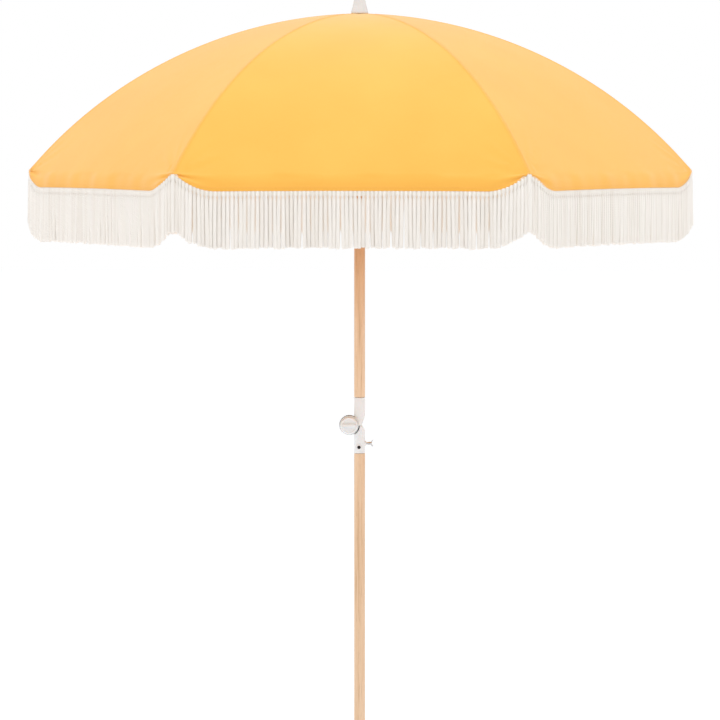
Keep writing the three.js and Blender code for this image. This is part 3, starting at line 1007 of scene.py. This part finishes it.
def box_slab(x0, x1, y0, y1, z0, z1):
    return slab([(x0, z0), (x1, z0), (x1, z1), (x0, z1)], y0, y1)


def combine(piece, operation, *tools):
    """Join tools to a piece, or cut them from it, and throw the tools away."""
    for tool in tools:
        one = piece.modifiers.new("combine", "BOOLEAN")
        one.operation = operation
        one.solver = "EXACT"
        one.object = tool
    bake(piece)
    for tool in tools:
        bpy.data.objects.remove(tool)
    return piece


def moulded(name, piece, material, voxel=0.0005, rounds=4, share=0.3):
    """Remake a piece from voxels and soften it, for the round corners of a moulding."""
    remesh = piece.modifiers.new("voxels", "REMESH")
    remesh.mode = "VOXEL"
    remesh.voxel_size = voxel
    soft = piece.modifiers.new("soften", "SMOOTH")
    soft.iterations = rounds
    thin = piece.modifiers.new("thin", "DECIMATE")
    thin.ratio = share
    bake(piece)
    piece.name = piece.data.name = name
    piece.data.materials.clear()
    piece.data.materials.append(material)
    piece.data.shade_smooth()
    return piece


def settle(piece, body, node):
    """Give a finished piece to its body, in the place of the plain solid."""
    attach(piece, body)
    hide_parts(node)
    print(piece.name, "on", body, len(piece.data.polygons), "faces")


# %% [markdown]
# ## Poles
# The lower pole is turned to a blunt point that goes into sand, with a thinner tenon at the top
# inside the joint. The upper pole has a tenon at each end and a slot for the spring catch.

# %% Turn the two poles
POLE_R = 0.015
TENON_R = 0.011
FOOT_Z = 1.91518
CATCH_LOW = FOOT_Z - 0.104
CATCH_HIGH = FOOT_Z - 0.060

lower_pole = turned("lower_pole_turned", [
    (0, 0), (0.0055, 0), (0.0064, 0.0012), (0.0106, 0.060), (POLE_R, 0.120), (POLE_R, 0.9254),
    (TENON_R, 0.9254), (TENON_R, 0.9695), (0, 0.9695)], pole_wood, 72, edge=0.0007)
settle(lower_pole, "lower_mast", "lower_pole")

upper_pole = turned("upper_pole_turned", [
    (0, 1.036), (TENON_R, 1.036), (TENON_R, 1.0790), (POLE_R, 1.0790), (POLE_R, 2.0877),
    (0.010, 2.0877), (0.010, 2.1129), (0.006, 2.1129), (0.006, 2.147), (0, 2.147)],
    pole_wood, 72, edge=0.0007)
combine(upper_pole, "DIFFERENCE",
        box_slab(-0.0026, 0.0026, -0.030, -0.007, CATCH_LOW - 0.001, CATCH_HIGH + 0.001))
smooth(upper_pole)
settle(upper_pole, "upper_mast", "upper_pole")

# %% [markdown]
# ## Tilting joint
# Two white mouldings carry the poles. Each ends in a round cheek beside the pole, and the cheeks
# turn on one bolt with a dark fibre disc between them. The disc is made wider and blacker than
# the washer it stands for, so it also serves as painted shade: it shows as a dark arc in the gap
# between the upper cheek and the lower tube. A round knob with a grip bar clamps the bolt.

# %% Mould the joint
HINGE = (-0.028, 1.0025)
CHEEK_R = 0.026
CHEEK_Y = 0.014
CHEEK_GAP = 0.0013
ARC_GAP = 0.0028
FITTING_R = 0.0148
UPPER_BOTTOM = 1.0015
SOCKET_TOP = 1.0005
NOTCH_X = 0.006
WING_Z = 0.9525
RIVET = (-0.0014, 0.9425)


def cheek(y0, y1, radius=CHEEK_R):
    return rod((HINGE[0], y0, HINGE[1]), (HINGE[0], y1, HINGE[1]), radius, 96)


def tube(z0, z1, radius):
    return rod((0, 0, z0), (0, 0, z1), radius, 80)


upper = tube(UPPER_BOTTOM, 1.078, FITTING_R)
combine(upper, "UNION", cheek(-CHEEK_Y, -CHEEK_GAP))
combine(upper, "DIFFERENCE", cheek(-CHEEK_GAP, 0.03, CHEEK_R + 0.0009), cheek(-0.03, 0.03, 0.0044),
        slab([(NOTCH_X, UPPER_BOTTOM - 0.001), (0.0085, 1.0095), (0.0125, 1.0205),
              (0.016, 1.034), (0.020, 1.034), (0.020, UPPER_BOTTOM - 0.001)], -0.02, 0.02),
        tube(1.034, 1.083, TENON_R + 0.0003))
joint_upper = moulded("joint_upper_moulding", upper, white_plastic)
settle(joint_upper, "upper_mast", "tilt_joint_upper")

lower = tube(0.926, SOCKET_TOP, FITTING_R)
combine(lower, "DIFFERENCE", cheek(-0.03, CHEEK_GAP, CHEEK_R + ARC_GAP))
combine(lower, "UNION", cheek(CHEEK_GAP, CHEEK_Y),
        slab([(-0.020, 0.990), (-0.0142, 0.980), (-0.008, 0.958), (0, 0.958), (0, 0.988)],
             CHEEK_GAP, 0.011),
        rod((0.008, 0, WING_Z), (0.018, 0, WING_Z), 0.0066),
        rod((RIVET[0], -0.008, RIVET[1]), (RIVET[0], -0.016, RIVET[1]), 0.0082))
combine(lower, "DIFFERENCE", cheek(-0.03, 0.03, 0.0044), tube(0.921, 0.973, TENON_R + 0.0003),
        slab([(NOTCH_X, SOCKET_TOP + 0.001), (0.0105, 0.9945), (0.0135, 0.9895), (0.0162, 0.983),
              (0.0200, 0.983), (0.0200, SOCKET_TOP + 0.001)], -0.02, 0.02),
        rod((0, 0, WING_Z), (0.03, 0, WING_Z), 0.0034),
        rod((RIVET[0], 0, RIVET[1]), (RIVET[0], -0.03, RIVET[1]), 0.0029))
joint_lower = moulded("joint_lower_moulding", lower, white_plastic)
settle(joint_lower, "joint_base", "tilt_joint_lower")

# %% Disc, bolt, knob, wing screw and rivet
AT_HINGE = Matrix.Translation((HINGE[0], 0, HINGE[1])) @ Matrix.Rotation(pi / 2, 4, "X")

# Painted shade: the fibre disc reaches past the cheek's edge, so the gap between cheek and tube
# shows a dark arc of it.
disc = turned("friction_disc", [(0.0044, -0.001), (CHEEK_R + 0.0013, -0.001),
                                (CHEEK_R + 0.0013, 0.001), (0.0044, 0.001)],
              friction_fibre, 80, closed=True, edge=0.0003)
disc.data.transform(AT_HINGE)
settle(disc, "joint_base", "friction_washer")

bolt = turned("hinge_bolt", [(0, -0.0185), (0.0075, -0.0185), (0.009, -0.017), (0.009, -0.0143),
                             (0.004, -0.0143), (0.004, 0.0215), (0.0034, 0.022), (0, 0.022)],
              zinc_steel, 48)
bolt.data.transform(AT_HINGE)
settle(bolt, "joint_base", "tilt_bolt")

knob = turned("knob", [(0, 0.0143), (0.0214, 0.0143), (0.0232, 0.0160), (0.0232, 0.0236),
                       (0.0212, 0.0266), (0.0190, 0.0268), (0.0182, 0.0258), (0, 0.0258)],
              None, 96, edge=0, flutes=32, flute=0.012)
bar = slab([(-0.0180, -0.0036), (0.0180, -0.0036), (0.0180, 0.0036), (-0.0180, 0.0036)],
           -0.0300, -0.0200)
bar.data.transform(Matrix.Translation((HINGE[0], 0, HINGE[1])))
knob.data.transform(AT_HINGE)
combine(knob, "UNION", bar)
combine(knob, "DIFFERENCE", cheek(-0.023, 0, 0.0044))
knob = moulded("knob_moulding", knob, white_plastic, 0.0004)
settle(knob, "knob_body", "tilt_knob")

screw = rod((TENON_R + 0.0006, 0, WING_Z), (0.030, 0, WING_Z), 0.003, 32)
combine(screw, "UNION", rod((0.0225, 0, WING_Z), (0.033, 0, WING_Z), 0.0039, 32))
for side in (1, -1):
    combine(screw, "UNION", slab([(x, WING_Z + side * z) for x, z in (
        (0.0295, 0.0015), (0.0328, 0.0015), (0.0372, 0.0076), (0.0360, 0.0094),
        (0.0334, 0.0088))], -0.0015, 0.0015))
screw = moulded("wing_screw_casting", screw, zinc_steel, 0.00035, 3, 0.5)
settle(screw, "wing_screw_body", "wing_screw")

rivet = turned("rivet_set", [(0, 0.0116), (0.0025, 0.0116), (0.0025, 0.0163), (0.0047, 0.0163),
                             (0.0043, 0.0174), (0.0028, 0.0181), (0, 0.0182)], dark_steel, 40)
rivet.data.transform(Matrix.Translation((RIVET[0], 0, RIVET[1])) @ Matrix.Rotation(pi / 2, 4, "X"))
settle(rivet, "joint_base", "socket_rivet")

# %% [markdown]
# ## Finial and runner
# The finial is a moulded white knob with shallow upright flutes for the fingers. It screws down
# on the top of the pole and holds the washer and the six panel corners. The runner is a sleeve
# with a flange, slotted six times for the feet of the stretchers.

# %% Finial, washer and runner
TOP_Z = 2.1198
finial = turned("finial_moulding", [
    (0.0064, TOP_Z), (0.0222, TOP_Z), (0.0235, TOP_Z + 0.0012), (0.0233, TOP_Z + 0.0040),
    (0.0220, TOP_Z + 0.009), (0.0208, TOP_Z + 0.014), (0.0189, TOP_Z + 0.020),
    (0.0173, TOP_Z + 0.027), (0.0156, TOP_Z + 0.036), (0.0134, TOP_Z + 0.046),
    (0.0119, TOP_Z + 0.054),
    (0.0108, TOP_Z + 0.061), (0.0086, TOP_Z + 0.068), (0.0050, TOP_Z + 0.0733),
    (0.0024, TOP_Z + 0.0747), (0, TOP_Z + 0.075), (0, TOP_Z + 0.0500), (0.0064, TOP_Z + 0.0480)],
    shaded_finial_plastic, 144, closed=True, edge=0, flutes=24, flute=0.045)
smooth(finial, 60)
settle(finial, "finial_body", "finial")

washer = turned("crown_washer_disc", [(0.0064, 2.1132), (0.0300, 2.1132), (0.0300, 2.1148),
                                      (0.0064, 2.1148)], white_plastic, 72, closed=True,
                edge=0.0004)
settle(washer, "upper_mast", "crown_washer")

runner = turned("runner_blank", [
    (POLE_R + 0.0007, FOOT_Z - 0.058), (0.0186, FOOT_Z - 0.058), (0.0194, FOOT_Z - 0.055),
    (0.0194, FOOT_Z - 0.018), (0.021, FOOT_Z - 0.012), (0.032, FOOT_Z - 0.010),
    (0.032, FOOT_Z + 0.008), (0.030, FOOT_Z + 0.0095), (POLE_R + 0.0007, FOOT_Z + 0.0095)],
    None, 96, closed=True, edge=0)
for k in range(6):
    turn = Matrix.Rotation(radians(60 * k), 4, "Z")
    foot_slot = box_slab(0.0192, 0.060, -0.0025, 0.0025, FOOT_Z - 0.042, FOOT_Z + 0.030)
    pin_seat = box_slab(0.0215, 0.0265, -0.0055, 0.0055, FOOT_Z - 0.042, FOOT_Z + 0.0024)
    foot_slot.data.transform(turn)
    pin_seat.data.transform(turn)
    combine(runner, "DIFFERENCE", foot_slot, pin_seat)
runner = moulded("runner_moulding", runner, white_plastic, 0.0005, 3)
settle(runner, "runner_body", "runner")

# %% [markdown]
# ## Ribs, stretchers and small fittings
# These keep the form of their solids. A copy is merged into one skin, its flat facets are joined,
# and a small bevel rounds every edge.

# %% Fine copies


def fine_copy(node, material, edge):
    mesh = frame["nodes"][node].data.copy()
    build = bmesh.new()
    build.from_mesh(mesh)
    bmesh.ops.remove_doubles(build, verts=build.verts, dist=0.00001)
    bmesh.ops.dissolve_limit(build, angle_limit=radians(1), verts=build.verts, edges=build.edges)
    build.to_mesh(mesh)
    build.free()
    piece = link(node + "_fine", mesh, material)
    soft = piece.modifiers.new("soft_edge", "BEVEL")
    soft.width = edge
    soft.segments = 2
    soft.limit_method = "ANGLE"
    soft.angle_limit = radians(28)
    bake(piece)
    smooth(piece, 30)
    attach(piece, frame["nodes"][node]["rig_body"])
    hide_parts(node)
    return piece


for k in range(1, 7):
    fine_copy(f"rib_{k}", rib_paint, 0.0007)
    fine_copy(f"stretcher_{k}", rib_paint, 0.0006)
    fine_copy(f"rib_clip_{k}", white_plastic, 0.0005)
    fine_copy(f"rib_tip_cap_{k}", white_plastic, 0.0006)
fine_copy("crown_hub", white_plastic, 0.0005)
fine_copy("crown_ring_wire", zinc_steel, 0.0004)
fine_copy("runner_catch", zinc_steel, 0.0004)

# %% [markdown]
# ## Seam tapes
# Under each seam a folded strip of the same cloth hides the raw edges and makes the pocket that
# the rib lies along. It bends in the middle, because the two panels meet there at an angle.

# %% Tapes under the seams
TAPE_HALF = 0.016


def make_seam_tape(k):
    turn = Matrix.Rotation(radians(60 * (k - 1)), 4, "Z")
    low, high = arc_angle(0.070), arc_angle(0.850)
    points, uvs = [], []
    for i in range(91):
        angle = low + (high - low) * i / 90
        r, z = arc_point(angle, 0.0042)
        row = []
        for j in range(9):
            y = TAPE_HALF * (j / 4 - 1)
            fold = 0.0005 * sin(38 * angle + 3 * y / TAPE_HALF + k) * (y / TAPE_HALF) ** 2
            row.append((r - abs(y) * TAN30 + fold, y, z + fold))
        points.append(row)
        uvs.append([(TAPE_HALF * (j / 4 - 1), DOME_RHO * angle) for j in range(9)])
    tape = thicken(grid_piece(f"seam_tape_sewn_{k}", points, uvs, binding_cloth, turn), 0.0009)
    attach(tape, f"rib_body_{k}")
    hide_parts(f"seam_tape_{k}")
    return tape


seam_tapes = [make_seam_tape(k) for k in range(1, 7)]
print("seam tapes", len(seam_tapes))
